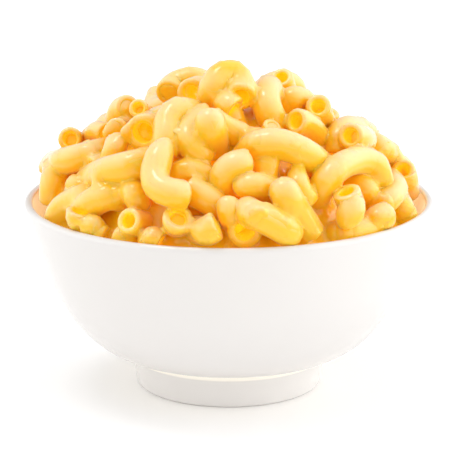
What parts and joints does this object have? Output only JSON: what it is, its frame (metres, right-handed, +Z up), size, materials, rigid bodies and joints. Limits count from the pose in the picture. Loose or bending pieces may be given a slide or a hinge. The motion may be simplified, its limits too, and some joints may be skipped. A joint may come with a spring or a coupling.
{
  "type": "bowl of macaroni and cheese",
  "caption": "Round white footed bowl heaped with curved macaroni tubes in a smooth cheese sauce, mounded well above the rim.",
  "frame": {"origin": "middle of the foot ring's underside, on the surface the bowl stands on", "axes": "+Z up along the bowl's axis; -Y towards the side that the picture shows"},
  "size_m": [0.14, 0.14, 0.1147],
  "materials": {
    "bowl_glaze": "gloss",
    "sauced_macaroni": "satin"
  },
  "bodies": {
    "root": {"bowl": "bowl_glaze", "macaroni_heap": "sauced_macaroni"}
  },
  "joints": []
}
